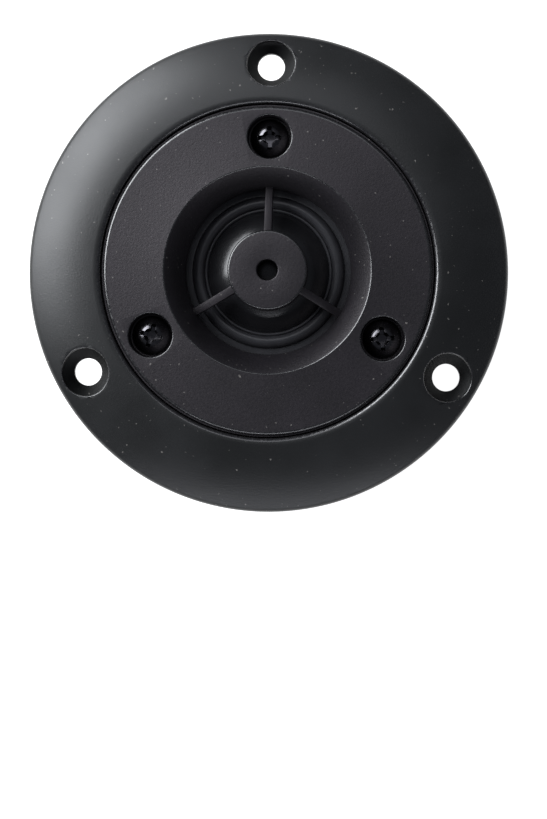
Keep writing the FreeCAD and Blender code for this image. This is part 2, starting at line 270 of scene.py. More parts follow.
def put(piece, radius=0.0, angle=0.0, twist=0.0):
    """Turns a piece by twist, then sets it out from the axis at an angle, into its own mesh."""
    turn = math.radians(angle)
    make_active(piece)
    place = Matrix.Rotation(math.radians(twist), 4, "Z")
    move = Matrix.Translation((radius * MM * math.cos(turn), radius * MM * math.sin(turn), 0))
    piece.matrix_world = move @ place
    bpy.ops.object.transform_apply(location=True, rotation=True, scale=True)
    return piece


def merge_near(piece, wanted, gap):
    """Merges the corners that pass a test and stand closer together than a gap."""
    make_active(piece)
    bpy.ops.object.mode_set(mode="EDIT")
    bpy.ops.mesh.select_mode(type="VERT")
    bpy.ops.mesh.select_all(action="DESELECT")
    bpy.ops.object.mode_set(mode="OBJECT")
    for corner in piece.data.vertices:
        corner.select = wanted(corner.co / MM)
    bpy.ops.object.mode_set(mode="EDIT")
    bpy.ops.mesh.remove_doubles(threshold=gap * MM)
    bpy.ops.mesh.select_all(action="SELECT")
    bpy.ops.mesh.dissolve_degenerate(threshold=0.002 * MM)
    bpy.ops.object.mode_set(mode="OBJECT")


def round_edges(piece, wanted, width, segments=3):
    """Bevels only the edges whose two ends and face angle pass a test."""
    make_active(piece)
    bpy.ops.object.mode_set(mode="EDIT")
    bpy.ops.mesh.select_mode(type="EDGE")
    bpy.ops.mesh.select_all(action="DESELECT")
    bpy.ops.mesh.edges_select_sharp(sharpness=math.radians(30))
    bpy.ops.object.mode_set(mode="OBJECT")
    corners = piece.data.vertices
    for edge in piece.data.edges:
        ends = [corners[i].co / MM for i in edge.vertices]
        edge.select = edge.select and all(wanted(p) for p in ends)
    for face in piece.data.polygons:
        face.select = False
    for corner in corners:
        corner.select = False
    bpy.ops.object.mode_set(mode="EDIT")
    bpy.ops.mesh.bevel(offset=width * MM, segments=segments, affect="EDGES", clamp_overlap=False)
    bpy.ops.mesh.select_mode(type="VERT")
    close_up()


def shade(piece, angle=32):
    """Smooth shading, with edges sharper than the angle kept crisp."""
    make_active(piece)
    bpy.ops.object.shade_smooth_by_angle(angle=math.radians(angle))


# ---------------------------------------------------------------- materials
def linear(colour):
    """A colour given as sRGB hex, as the linear values that shaders take."""
    channels = [int(colour[i:i + 2], 16) / 255 for i in (1, 3, 5)]
    return tuple(c / 12.92 if c <= 0.04045 else ((c + 0.055) / 1.055) ** 2.4 for c in channels) + (1.0,)


def add(tree, kind, inputs=(), stops=(), **settings):
    """Adds a node; an input given as a socket is linked, and any other is set. A colour ramp's
    stops are given as places and colours, in order."""
    node = tree.nodes.new(kind)
    for key, value in settings.items():
        setattr(node, key, value)
    for key, value in dict(inputs).items():
        if isinstance(value, bpy.types.NodeSocket):
            tree.links.new(value, node.inputs[key])
        else:
            node.inputs[key].default_value = value
    for number, (place, colour) in enumerate(stops):
        if number == len(node.color_ramp.elements):
            node.color_ramp.elements.new(place)
        node.color_ramp.elements[number].position = place
        node.color_ramp.elements[number].color = linear(colour)
    return node


def begin_material(name, stretch=(1, 1, 1)):
    """A new material's tree and the piece's own coordinates, in metres times stretch."""
    material = bpy.data.materials.new(name)
    material.use_nodes = True
    tree = material.node_tree
    tree.nodes.clear()
    place = add(tree, "ShaderNodeTexCoord").outputs["Object"]
    mapping = add(tree, "ShaderNodeMapping", {"Vector": place, "Scale": stretch})
    return material, tree, mapping.outputs["Vector"]


def end_material(tree, shader):
    """Sends a shader to the material's output."""
    add(tree, "ShaderNodeOutputMaterial", {"Surface": shader.outputs[0]})


# the part of its range that a noise texture mostly fills
NOISE_SPREAD = {"From Min": 0.3, "From Max": 0.7}


def per_mm(size):
    """The texture scale whose features are about size millimetres across."""
    return 1 / (size * MM)


def settled_dust(tree, place, tint):
    """A skin's colour with sparse pale specks of dust, each a few tenths of a millimetre."""
    speck = add(tree, "ShaderNodeTexNoise", {"Vector": place, "Scale": per_mm(0.8), "Detail": 1.0})
    lies = add(tree, "ShaderNodeMapRange", {
        "Value": speck.outputs["Fac"], "From Min": 0.745, "From Max": 0.80, "To Min": 0.0, "To Max": 0.8,
    })
    mix = add(tree, "ShaderNodeMix", {
        0: lies.outputs[0], 6: tint.outputs["Color"], 7: linear("#6f6c68"),
    }, data_type="RGBA")
    return mix.outputs[2]


def satin_moulded_abs():
    """Injection-moulded black ABS with a spark-eroded satin skin, handled: soft broad highlights,
    a fine even grain and faint smears where hands polished it."""
    material, tree, place = begin_material("satin_moulded_abs")
    grain = add(tree, "ShaderNodeTexNoise", {"Vector": place, "Scale": per_mm(0.35), "Detail": 3.0})
    smear = add(tree, "ShaderNodeTexNoise", {"Vector": place, "Scale": per_mm(14), "Detail": 4.0})
    tint = add(tree, "ShaderNodeValToRGB", {"Fac": smear.outputs["Fac"]}, (
        (0.35, "#0f1010"), (0.7, "#151617"),
    ))
    worn = add(tree, "ShaderNodeMapRange", {
        "Value": smear.outputs["Fac"], **NOISE_SPREAD, "To Min": 0.34, "To Max": 0.40,
    })
    rough = add(tree, "ShaderNodeMath", {0: grain.outputs["Fac"], 1: 0.06, 2: worn.outputs[0]},
                operation="MULTIPLY_ADD")
    bump = add(tree, "ShaderNodeBump", {
        "Height": grain.outputs["Fac"], "Strength": 0.4, "Distance": 0.00005,
    })
    shader = add(tree, "ShaderNodeBsdfPrincipled", {
        "Base Color": settled_dust(tree, place, tint), "Roughness": rough.outputs[0],
        "Normal": bump.outputs["Normal"], "IOR": 1.54,
    })
    end_material(tree, shader)
    return material


def grained_moulded_abs():
    """Injection-moulded black ABS from a coarser etched tool: matt, slightly purple-grey in
    raking light, with a pebble grain that breaks up every reflection."""
    material, tree, place = begin_material("grained_moulded_abs")
    grain = add(tree, "ShaderNodeTexNoise", {"Vector": place, "Scale": per_mm(0.45), "Detail": 4.0,
                                             "Roughness": 0.65})
    dust = add(tree, "ShaderNodeTexNoise", {"Vector": place, "Scale": per_mm(7), "Detail": 5.0})
    tint = add(tree, "ShaderNodeValToRGB", {"Fac": dust.outputs["Fac"]}, (
        (0.35, "#0e0d10"), (0.72, "#151317"),
    ))
    rough = add(tree, "ShaderNodeMapRange", {
        "Value": grain.outputs["Fac"], **NOISE_SPREAD, "To Min": 0.42, "To Max": 0.54,
    })
    bump = add(tree, "ShaderNodeBump", {
        "Height": grain.outputs["Fac"], "Strength": 0.8, "Distance": 0.00006,
    })
    shader = add(tree, "ShaderNodeBsdfPrincipled", {
        "Base Color": settled_dust(tree, place, tint), "Roughness": rough.outputs[0],
        "Specular Tint": linear("#fbf4f8"), "Normal": bump.outputs["Normal"], "IOR": 1.58,
    })
    end_material(tree, shader)
    return material


def burnished_abs():
    """The same black ABS where an edge has been rubbed by hands and packing: polished to a
    shine, with specks of the moulded grain left in it."""
    material, tree, place = begin_material("burnished_abs")
    speck = add(tree, "ShaderNodeTexNoise", {"Vector": place, "Scale": per_mm(0.5), "Detail": 3.0,
                                             "Roughness": 0.6})
    tint = add(tree, "ShaderNodeValToRGB", {"Fac": speck.outputs["Fac"]}, ((0, "#101011"), (1, "#1d1c1e")))
    rough = add(tree, "ShaderNodeMapRange", {
        "Value": speck.outputs["Fac"], "From Min": 0.40, "From Max": 0.64, "To Min": 0.18, "To Max": 0.40,
    })
    shader = add(tree, "ShaderNodeBsdfPrincipled", {
        "Base Color": tint.outputs["Color"], "Roughness": rough.outputs[0], "IOR": 1.80,
    })
    end_material(tree, shader)
    return material


def black_oxide_steel():
    """Cold-headed steel screw, chemically blackened and oiled: glossy black, rubbed to grey
    steel in a few small places."""
    material, tree, place = begin_material("black_oxide_steel")
    rub = add(tree, "ShaderNodeTexNoise", {"Vector": place, "Scale": per_mm(0.9), "Detail": 5.0,
                                           "Roughness": 0.7})
    tint = add(tree, "ShaderNodeValToRGB", {"Fac": rub.outputs["Fac"]}, (
        (0.55, "#504f52"), (0.85, "#7b7976"),
    ))
    rough = add(tree, "ShaderNodeMapRange", {
        "Value": rub.outputs["Fac"], **NOISE_SPREAD, "To Min": 0.16, "To Max": 0.27,
    })
    shader = add(tree, "ShaderNodeBsdfPrincipled", {
        "Base Color": tint.outputs["Color"], "Roughness": rough.outputs[0], "Metallic": 1.0,
    })
    end_material(tree, shader)
    return material


def polymer_film(name, rough, dark, pale):
    """Thermoformed black polymer film with the slight orange peel left by the forming heat:
    glossy on the dome, duller where the roll carries a damping coat."""
    material, tree, place = begin_material(name)
    peel = add(tree, "ShaderNodeTexNoise", {"Vector": place, "Scale": per_mm(2.5), "Detail": 2.0})
    tint = add(tree, "ShaderNodeValToRGB", {"Fac": peel.outputs["Fac"]}, ((0, dark), (1, pale)))
    bump = add(tree, "ShaderNodeBump", {"Height": peel.outputs["Fac"], "Strength": 0.2, "Distance": 0.0001})
    shader = add(tree, "ShaderNodeBsdfPrincipled", {
        "Base Color": tint.outputs["Color"], "Roughness": rough, "IOR": 1.55,
        "Normal": bump.outputs["Normal"],
    })
    end_material(tree, shader)
    return material


def ferrite():
    """Pressed and sintered strontium ferrite, ground on its faces: near-black grey with a faint
    blue sheen, a gritty skin and paler rubbed patches."""
    material, tree, place = begin_material("ground_ferrite", (1, 1, 1.8))
    grit = add(tree, "ShaderNodeTexNoise", {"Vector": place, "Scale": per_mm(0.5), "Detail": 6.0,
                                            "Roughness": 0.6})
    patch = add(tree, "ShaderNodeTexNoise", {"Vector": place, "Scale": per_mm(9), "Detail": 6.0,
                                             "Roughness": 0.6})
    tint = add(tree, "ShaderNodeValToRGB", {"Fac": patch.outputs["Fac"]}, (
        (0.5, "#0d0e10"), (0.8, "#3a3d42"),
    ))
    rough = add(tree, "ShaderNodeMapRange", {
        "Value": patch.outputs["Fac"], **NOISE_SPREAD, "To Min": 0.42, "To Max": 0.56,
    })
    bump = add(tree, "ShaderNodeBump", {
        "Height": grit.outputs["Fac"], "Strength": 0.5, "Distance": 0.00006,
    })
    shader = add(tree, "ShaderNodeBsdfPrincipled", {
        "Base Color": tint.outputs["Color"], "Roughness": rough.outputs[0],
        "Specular IOR Level": 0.3, "Normal": bump.outputs["Normal"],
    })
    end_material(tree, shader)
    return material


def sheared_zinc_steel():
    """Stamped steel plate under old yellowed zinc: the punch left upright tear marks round its
    edge, and the plate has aged to runs of grey, straw and brown."""
    material, tree, place = begin_material("sheared_zinc_steel")
    tear = add(tree, "ShaderNodeMapping", {"Vector": place, "Scale": (1, 1, 0.12)})
    streak = add(tree, "ShaderNodeTexNoise", {"Vector": tear.outputs[0], "Scale": per_mm(0.6),
                                              "Detail": 5.0, "Roughness": 0.65})
    run = add(tree, "ShaderNodeTexNoise", {"Vector": tear.outputs[0], "Scale": per_mm(2.2), "Detail": 5.0})
    tint = add(tree, "ShaderNodeValToRGB", {"Fac": run.outputs["Fac"]}, (
        (0.34, "#4a4236"), (0.5, "#6a5a42"), (0.68, "#877d66"),
    ))
    rough = add(tree, "ShaderNodeMapRange", {
        "Value": streak.outputs["Fac"], **NOISE_SPREAD, "To Min": 0.38, "To Max": 0.62,
    })
    bump = add(tree, "ShaderNodeBump", {
        "Height": streak.outputs["Fac"], "Strength": 0.7, "Distance": 0.00015,
    })
    shader = add(tree, "ShaderNodeBsdfPrincipled", {
        "Base Color": tint.outputs["Color"], "Roughness": rough.outputs[0], "Metallic": 0.8,
        "Normal": bump.outputs["Normal"],
    })
    end_material(tree, shader)
    return material


def bright_zinc_steel():
    """Turned mild steel with bright zinc plate, dulled by handling: cool grey, fine ring marks
    from the lathe and soft cloudy spangle."""
    material, tree, place = begin_material("bright_zinc_steel")
    cloud = add(tree, "ShaderNodeTexNoise", {"Vector": place, "Scale": per_mm(6), "Detail": 5.0})
    rings = add(tree, "ShaderNodeTexWave", {
        "Vector": place, "Scale": per_mm(0.8) / 6.283, "Distortion": 0.6, "Detail": 2.0,
    }, wave_type="RINGS", rings_direction="Z")
    tint = add(tree, "ShaderNodeValToRGB", {"Fac": cloud.outputs["Fac"]}, (
        (0.34, "#8c8e8c"), (0.68, "#b7b8b4"),
    ))
    rough = add(tree, "ShaderNodeMapRange", {
        "Value": cloud.outputs["Fac"], **NOISE_SPREAD, "To Min": 0.30, "To Max": 0.46,
    })
    bump = add(tree, "ShaderNodeBump", {
        "Height": rings.outputs["Fac"], "Strength": 0.25, "Distance": 0.00003,
    })
    shader = add(tree, "ShaderNodeBsdfPrincipled", {
        "Base Color": tint.outputs["Color"], "Roughness": rough.outputs[0], "Metallic": 1.0,
        "Normal": bump.outputs["Normal"],
    })
    end_material(tree, shader)
    return material


def tinned_brass():
    """Stamped brass tab with bright tin plate: near-white metal, drawn lines down the blade and
    slight dulling by fingers."""
    material, tree, place = begin_material("tinned_brass")
    drawn = add(tree, "ShaderNodeMapping", {"Vector": place, "Scale": (1, 1, 0.05)})
    line = add(tree, "ShaderNodeTexNoise", {
        "Vector": drawn.outputs[0], "Scale": per_mm(0.25), "Detail": 3.0,
    })
    smudge = add(tree, "ShaderNodeTexNoise", {"Vector": place, "Scale": per_mm(2.5), "Detail": 4.0})
    tint = add(tree, "ShaderNodeValToRGB", {"Fac": smudge.outputs["Fac"]}, (
        (0.3, "#a9a69d"), (0.7, "#d2d1cb"),
    ))
    rough = add(tree, "ShaderNodeMapRange", {
        "Value": smudge.outputs["Fac"], **NOISE_SPREAD, "To Min": 0.16, "To Max": 0.34,
    })
    bump = add(tree, "ShaderNodeBump", {
        "Height": line.outputs["Fac"], "Strength": 0.2, "Distance": 0.00002,
    })
    shader = add(tree, "ShaderNodeBsdfPrincipled", {
        "Base Color": tint.outputs["Color"], "Roughness": rough.outputs[0], "Metallic": 1.0,
        "Normal": bump.outputs["Normal"],
    })
    end_material(tree, shader)
    return material


def enamelled_copper():
    """Fine copper magnet wire wound side by side under clear enamel: warm reddish metal with
    turn-by-turn ridges."""
    material, tree, place = begin_material("enamelled_copper")
    turns = add(tree, "ShaderNodeTexWave", {"Vector": place, "Scale": per_mm(0.2) / 6.283},
                wave_type="BANDS", bands_direction="Z")
    shadow = add(tree, "ShaderNodeTexNoise", {"Vector": place, "Scale": per_mm(1.5), "Detail": 3.0})
    tint = add(tree, "ShaderNodeValToRGB", {"Fac": shadow.outputs["Fac"]}, (
        (0, "#8f4a24"), (1, "#cf7c44"),
    ))
    bump = add(tree, "ShaderNodeBump", {
        "Height": turns.outputs["Fac"], "Strength": 0.6, "Distance": 0.00005,
    })
    shader = add(tree, "ShaderNodeBsdfPrincipled", {
        "Base Color": tint.outputs["Color"], "Roughness": 0.3, "Metallic": 1.0,
        "Coat Weight": 0.6, "Coat Roughness": 0.1, "Normal": bump.outputs["Normal"],
    })
    end_material(tree, shader)
    return material


def rolled_aluminium_foil():
    """Thin rolled aluminium for the coil's tube: bright, with straight rolling lines."""
    material, tree, place = begin_material("rolled_aluminium_foil", (1, 1, 0.05))
    line = add(tree, "ShaderNodeTexNoise", {"Vector": place, "Scale": per_mm(0.3), "Detail": 3.0})
    rough = add(tree, "ShaderNodeMapRange", {
        "Value": line.outputs["Fac"], **NOISE_SPREAD, "To Min": 0.22, "To Max": 0.4,
    })
    tint = add(tree, "ShaderNodeValToRGB", {"Fac": line.outputs["Fac"]}, ((0, "#b9babc"), (1, "#d8d9da")))
    shader = add(tree, "ShaderNodeBsdfPrincipled", {
        "Base Color": tint.outputs["Color"], "Roughness": rough.outputs[0], "Metallic": 1.0,
    })
    end_material(tree, shader)
    return material


def pressed_felt():
    """Grey wool felt punched from sheet: soft, fibrous and without shine."""
    material, tree, place = begin_material("pressed_felt")
    fibre = add(tree, "ShaderNodeTexNoise", {"Vector": place, "Scale": per_mm(0.4), "Detail": 8.0,
                                             "Roughness": 0.75, "Distortion": 1.5})
    tint = add(tree, "ShaderNodeValToRGB", {"Fac": fibre.outputs["Fac"]}, ((0, "#2c2b2a"), (1, "#5b5955")))
    bump = add(tree, "ShaderNodeBump", {
        "Height": fibre.outputs["Fac"], "Strength": 0.9, "Distance": 0.0002,
    })
    shader = add(tree, "ShaderNodeBsdfPrincipled", {
        "Base Color": tint.outputs["Color"], "Roughness": 0.95, "Sheen Weight": 0.3,
        "Normal": bump.outputs["Normal"],
    })
    end_material(tree, shader)
    return material


def nitrile_gasket():
    """Die-cut nitrile rubber sheet: matt black with a fine talc bloom."""
    material, tree, place = begin_material("nitrile_gasket")
    bloom = add(tree, "ShaderNodeTexNoise", {"Vector": place, "Scale": per_mm(0.8), "Detail": 5.0})
    tint = add(tree, "ShaderNodeValToRGB", {"Fac": bloom.outputs["Fac"]}, (
        (0.4, "#141414"), (0.8, "#2d2d2c"),
    ))
    shader = add(tree, "ShaderNodeBsdfPrincipled", {
        "Base Color": tint.outputs["Color"], "Roughness": 0.8, "IOR": 1.52,
    })
    end_material(tree, shader)
    return material


def contact_adhesive():
    """Brown-black contact adhesive squeezed from the joint and set: half glossy, lumpy, with
    greyish dust caught on it."""
    material, tree, place = begin_material("contact_adhesive")
    lump = add(tree, "ShaderNodeTexNoise", {"Vector": place, "Scale": per_mm(1.6), "Detail": 5.0})
    tint = add(tree, "ShaderNodeValToRGB", {"Fac": lump.outputs["Fac"]}, (
        (0.42, "#1d1a17"), (0.7, "#6d6558"),
    ))
    bump = add(tree, "ShaderNodeBump", {"Height": lump.outputs["Fac"], "Strength": 0.6, "Distance": 0.0002})
    shader = add(tree, "ShaderNodeBsdfPrincipled", {
        "Base Color": tint.outputs["Color"], "Roughness": 0.42, "Normal": bump.outputs["Normal"],
    })
    end_material(tree, shader)
    return material


def lit_studio_sheet():
    """Translucent white studio sheet, evenly lit from below so that it stays pale under the piece."""
    material, tree, place = begin_material("lit_studio_sheet")
    fibre = add(tree, "ShaderNodeTexNoise", {"Vector": place, "Scale": per_mm(2), "Detail": 4.0})
    tint = add(tree, "ShaderNodeValToRGB", {"Fac": fibre.outputs["Fac"]}, ((0, "#b2b2b0"), (1, "#b8b8b7")))
    shader = add(tree, "ShaderNodeBsdfPrincipled", {
        "Base Color": tint.outputs["Color"], "Roughness": 0.9,
        "Emission Color": linear("#ffffff"), "Emission Strength": 0.95,
    })
    end_material(tree, shader)
    return material


FLANGE_SKIN = satin_moulded_abs()
HORN_SKIN = grained_moulded_abs()
SCREW_STEEL = black_oxide_steel()
RUBBED_EDGE = burnished_abs()
DOME_FILM = polymer_film("glossy_polymer_film", 0.22, "#121214", "#1f1f21")
ROLL_FILM = polymer_film("damped_polymer_film", 0.33, "#242427", "#333336")
FERRITE = ferrite()
SHEARED_STEEL = sheared_zinc_steel()
ZINC_STEEL = bright_zinc_steel()
TINNED_BRASS = tinned_brass()
COPPER = enamelled_copper()
FOIL = rolled_aluminium_foil()
FELT = pressed_felt()
NITRILE = nitrile_gasket()
ADHESIVE = contact_adhesive()
PAPER = lit_studio_sheet()


def finish_piece(piece, material, body, nodes):
    """Gives a piece its material and its body, if one is given,
    and hides the CAD nodes that it stands for."""
    piece.data.materials.clear()
    piece.data.materials.append(material)
    if body:
        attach(piece, body)
    if nodes:
        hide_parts(*nodes)


def rub_edges(piece, is_rubbed):
    """Gives the burnished skin to the faces whose middle passes a test, in millimetres."""
    piece.data.materials.append(RUBBED_EDGE)
    for face in piece.data.polygons:
        if is_rubbed(face.center / MM):
            face.material_index = 1


def nearest(point, pitch):
    """Distance from a point to the closest of three hole axes on a pitch radius."""
    axes = [(pitch * math.cos(math.radians(a)), pitch * math.sin(math.radians(a))) for a in SCREW_ANGLES]
    return min(math.hypot(point.x - x, point.y - y) for x, y in axes)


# ---------------------------------------------------------------- mounting flange
def crown_point(radius, depth=0.0):
    """Angle on the crown's arc, in degrees, where it passes a radius."""
    return math.degrees(math.acos((radius - CROWN_AXIS[0]) / (CROWN_R - depth)))


def flange_outline():
    """Ledge, collar, hollow underside, rim, domed crown and rounded inner shoulder."""
    outer = math.radians(CROWN_OUT)
    inner = math.radians(CROWN_IN)
    rim_r = CROWN_AXIS[0] + CROWN_R * math.cos(outer)
    rim_z = CROWN_AXIS[1] + CROWN_R * math.sin(outer)
    rim_round = (FLANGE_R - rim_r) / (1 - math.cos(outer))
    rim_axis = (rim_r - rim_round * math.cos(outer), rim_z - rim_round * math.sin(outer))
    inward = CROWN_R - SHOULDER_ROUND
    shoulder_axis = (CROWN_AXIS[0] + inward * math.cos(inner), CROWN_AXIS[1] + inward * math.sin(inner))
    turn = math.radians(SHOULDER_TURN)
    lip_r = shoulder_axis[0] + SHOULDER_ROUND * math.cos(turn)
    lip_round = (lip_r - WALL_R) / (1 + math.cos(turn))
    inward = SHOULDER_ROUND - lip_round
    lip_axis = (shoulder_axis[0] + inward * math.cos(turn), shoulder_axis[1] + inward * math.sin(turn))
    under_start = crown_point(COLLAR_R, SHELL)
    under_end = crown_point(RIM_IN_R, SHELL)
    outline = [(LEDGE_R, LEDGE_LOW), (COLLAR_R - 0.4, LEDGE_LOW)]
    outline += arc((COLLAR_R - 0.4, LEDGE_LOW + 0.4), 0.4, -60, 0, 3)
    outline += arc(CROWN_AXIS, CROWN_R - SHELL, under_start, under_end, 10)
    outline += [(RIM_IN_R, FLANGE_SEAT + 0.2), (RIM_IN_R + 0.2, FLANGE_SEAT)]
    outline += arc((FLANGE_R - 0.4, FLANGE_SEAT + 0.4), 0.4, -90, 0, 4)
    outline += arc(rim_axis, rim_round, 0, CROWN_OUT, 8)
    outline += arc(CROWN_AXIS, CROWN_R, CROWN_OUT, CROWN_IN, 20)[1:]
    outline += arc(shoulder_axis, SHOULDER_ROUND, CROWN_IN, SHOULDER_TURN, 8)[1:]
    outline += arc(lip_axis, lip_round, SHOULDER_TURN, 180, 7)[1:]
    outline += [(WALL_R, LEDGE_TOP), (LEDGE_R, LEDGE_TOP), (LEDGE_R, LEDGE_LOW)]
    return outline


def under_crown():
    """Everything from the middle of the crown's shell down to the flange's seat."""
    depth = 0.5 * SHELL
    inner_r = COLLAR_R - 0.6
    outer_r = RIM_IN_R + 1
    outer = crown_point(outer_r, depth)
    inner = crown_point(inner_r, depth)
    outline = [(inner_r, FLANGE_SEAT - 8), (outer_r, FLANGE_SEAT - 8)]
    outline += arc(CROWN_AXIS, CROWN_R - depth, outer, inner, 12)
    outline += outline[:1]
    return lathe("under_crown", outline)


def mount_boss():
    """The pillar under the crown around one panel-screw hole, at the axis."""
    return lathe("mount_boss", rod_outline(MOUNT_BOSS_R, FLANGE_SEAT, UNTRIMMED_TOP), 64)


def mount_cutter():
    """The countersunk recess and through hole for one panel screw, at the axis."""
    step = MOUNT_RECESS_R - MOUNT_HOLE_R
    outline = [(0, 22), (MOUNT_HOLE_R, 22), (MOUNT_HOLE_R, MOUNT_RECESS_Z - step)]
    outline += [(MOUNT_RECESS_R, MOUNT_RECESS_Z), (MOUNT_RECESS_R, 34), (0, 34)]
    return lathe("mount_cutter", outline, 96)


def under_block(name, x0, x1, half, z0, z1, angle):
    """A block with eased edges between two distances along X, turned to an angle."""
    deselect_everything()
    bpy.ops.mesh.primitive_cube_add(size=1)
    piece = bpy.context.object
    piece.name = name
    piece.scale = ((x1 - x0) * MM, 2 * half * MM, (z1 - z0) * MM)
    piece.location = ((x0 + x1) / 2 * MM, 0, (z0 + z1) / 2 * MM)
    bpy.ops.object.transform_apply(location=True, rotation=True, scale=True)
    soften(piece, 0.3, 2)
    return put(piece, twist=angle)


def build_flange():
    """The flange moulding with its bosses, ribs, terminal blocks and screw holes."""
    piece = lathe("mounting_flange_moulding", flange_outline())
    extra = [put(mount_boss(), MOUNT_PITCH_R, angle) for angle in SCREW_ANGLES]
    for angle in RIB_ANGLES:
        extra.append(under_block(
            "rib", COLLAR_R - 0.5, RIM_IN_R + 0.5, RIB_HALF, FLANGE_SEAT + 0.5, UNTRIMMED_TOP, angle,
        ))
    for angle in (0, 180):
        extra.append(under_block(
            "terminal_block", BLOCK_IN_X, BLOCK_OUT_X, BLOCK_HALF, BLOCK_LOW, UNTRIMMED_TOP, angle,
        ))
    deselect_everything()
    for part in extra:
        part.select_set(True)
    bpy.context.view_layer.objects.active = extra[0]
    bpy.ops.object.join()
    combine(extra[0], under_crown(), "INTERSECT")
    combine(piece, extra[0], "UNION")
    for angle in (0, 180):
        groove_top = LEDGE_LOW + 1.2
        groove = under_block("groove", LEDGE_R - 1, COLLAR_R + 1, 0.9, LEDGE_LOW - 2, groove_top, angle)
        combine(piece, groove, "DIFFERENCE")
        slit = under_block("slit", 36.0, 41.0, NECK_HALF, 16, high("terminal_positive"), angle)
        combine(piece, slit, "DIFFERENCE")
    for angle in SCREW_ANGLES:
        combine(piece, put(mount_cutter(), MOUNT_PITCH_R, angle), "DIFFERENCE")
        hole = lathe("ledge_hole", rod_outline(SCREW_HOLE_R, 18, 25), 48)
        combine(piece, put(hole, SCREW_PITCH_R, angle), "DIFFERENCE")

    def on_recess_lip(point):
        return abs(nearest(point, MOUNT_PITCH_R) - MOUNT_RECESS_R) < 0.03 and point.z > 27.6

    def is_rubbed(point):
        away = nearest(point, MOUNT_PITCH_R)
        around = math.hypot(point.x, point.y)
        on_lip = around < WALL_R + 0.6 and point.z > 30.7
        return on_lip or (MOUNT_RECESS_R < away < MOUNT_RECESS_R + 0.3 and point.z > 27.6)

    merge_near(piece, on_recess_lip, 0.09)
    round_edges(piece, on_recess_lip, 0.22)
    shade(piece)
    finish_piece(piece, FLANGE_SKIN, "driver_frame", ["mounting_flange"])
    rub_edges(piece, is_rubbed)


# ---------------------------------------------------------------- horn plate
def face_rise(radius):
    """How far the face stands above its rim, and the horn's mouth with it."""
    slope = math.tan(math.radians(FACE_TILT))
    if radius < MOUTH_R:
        part = max(0.0, (radius - RISE_FROM_R) / (MOUTH_R - RISE_FROM_R))
        return part * slope * (DISC_R - DISC_ROUND - MOUTH_R)
    return max(0.0, DISC_R - DISC_ROUND - radius) * slope


def raise_face(piece):
    """Lifts the flat face into its slight cone after everything has been cut through it."""
    group = piece.vertex_groups.new(name="face")
    for corner in piece.data.vertices:
        point = corner.co / MM
        around = math.hypot(point.x, point.y)
        lowest = 28.4 if around < 21 else DISC_UNDER + 0.5
        if point.z > lowest and around > RISE_FROM_R:
            group.add([corner.index], face_rise(around), "REPLACE")
    apply_modifier(piece, "DISPLACE", direction="Z", vertex_group="face", strength=MM, mid_level=0.0)
    piece.vertex_groups.clear()


def horn_outline():
    """Disc with a rounded edge, and the flared horn mouth and its throat, before the face is raised."""
    lip = FLARE_R - LIP_ROUND
    turn = math.radians(MOUTH_TURN)
    lip_axis = (FLARE_AXIS[0] + lip * math.cos(turn), FLARE_AXIS[1] + lip * math.sin(turn))
    outline = [(THROAT_R, HORN_END), (TUBE_R, HORN_END), (TUBE_R, DISC_UNDER)]
    outline += [(STEP_R - 0.3, DISC_UNDER), (STEP_R, DISC_UNDER + 0.3)]
    outline += [(STEP_R, STEP_Z - 0.1), (STEP_R - 0.1, STEP_Z), (DISC_R, STEP_Z)]
    outline += arc((DISC_R - DISC_ROUND, FACE - DISC_ROUND), DISC_ROUND, 0, 90, 10)
    mouth = arc(lip_axis, LIP_ROUND, 90 - FACE_TILT, MOUTH_TURN, 5)
    mouth += arc(FLARE_AXIS, FLARE_R, MOUTH_TURN, THROAT_TURN, 18)[1:]
    outline += [(MOUTH_R, FACE)] + [(r, z - face_rise(r)) for r, z in mouth[1:]]
    outline += [(THROAT_R, HORN_END)]
    return outline


def plug_outline():
    """Bored plug with a barely domed top, a crisp rim and a hollow underside that follows the dome."""
    under = DOME_SPHERE + 1.45
    centre = DOME_TOP - DOME_SPHERE
    side = math.degrees(math.acos((PLUG_R + 0.1) / under))
    bore = math.degrees(math.acos(PLUG_BORE_R / under))
    outline = arc((0, centre), under, bore, side, 12)
    outline += arc((PLUG_R - PLUG_ROUND, PLUG_TOP - 0.2 - PLUG_ROUND), PLUG_ROUND, 0, 88, 6)
    outline += arc((PLUG_BORE_R + 0.25, PLUG_TOP - 0.25), 0.25, 90, 180, 4)
    outline += outline[:1]
    return outline


def spoke_web():
    """One thin web with a hollowed top edge, from the plug out to the horn wall."""
    outline = [(SPOKE_ROOT_R, -SPOKE_HALF, SPOKE_ROOT_LOW), (SPOKE_ROOT_R, -SPOKE_HALF, SPOKE_TOP)]
    for step in range(11):
        along = step / 10
        drop = (SPOKE_TOP - SPOKE_END_TOP) * along + SPOKE_HOLLOW * along * (1 - along)
        outline.append((PLUG_R + (SPOKE_END_R - PLUG_R) * along, -SPOKE_HALF, SPOKE_TOP - drop))
    outline.append((SPOKE_END_R, -SPOKE_HALF, SPOKE_END_LOW))
    piece = plate("spoke_web", outline, (0, 2 * SPOKE_HALF, 0))
    soften(piece, 0.2, 3)
    return piece


def recess_cutter():
    """The flat-bottomed recess for one assembly screw, with a rounded lip, at the axis."""
    outline = [(0, 22), (SCREW_HOLE_R, 22), (SCREW_HOLE_R, SCREW_SEAT)]
    outline += arc((RECESS_R - 0.3, SCREW_SEAT + 0.3), 0.3, -90, 0, 4)
    outline += arc((RECESS_R + 0.25, FACE - 0.25), 0.25, 180, 90, 5)
    outline += [(RECESS_R + 0.5, FACE + 1), (0, FACE + 1)]
    return lathe("recess_cutter", outline, 96)


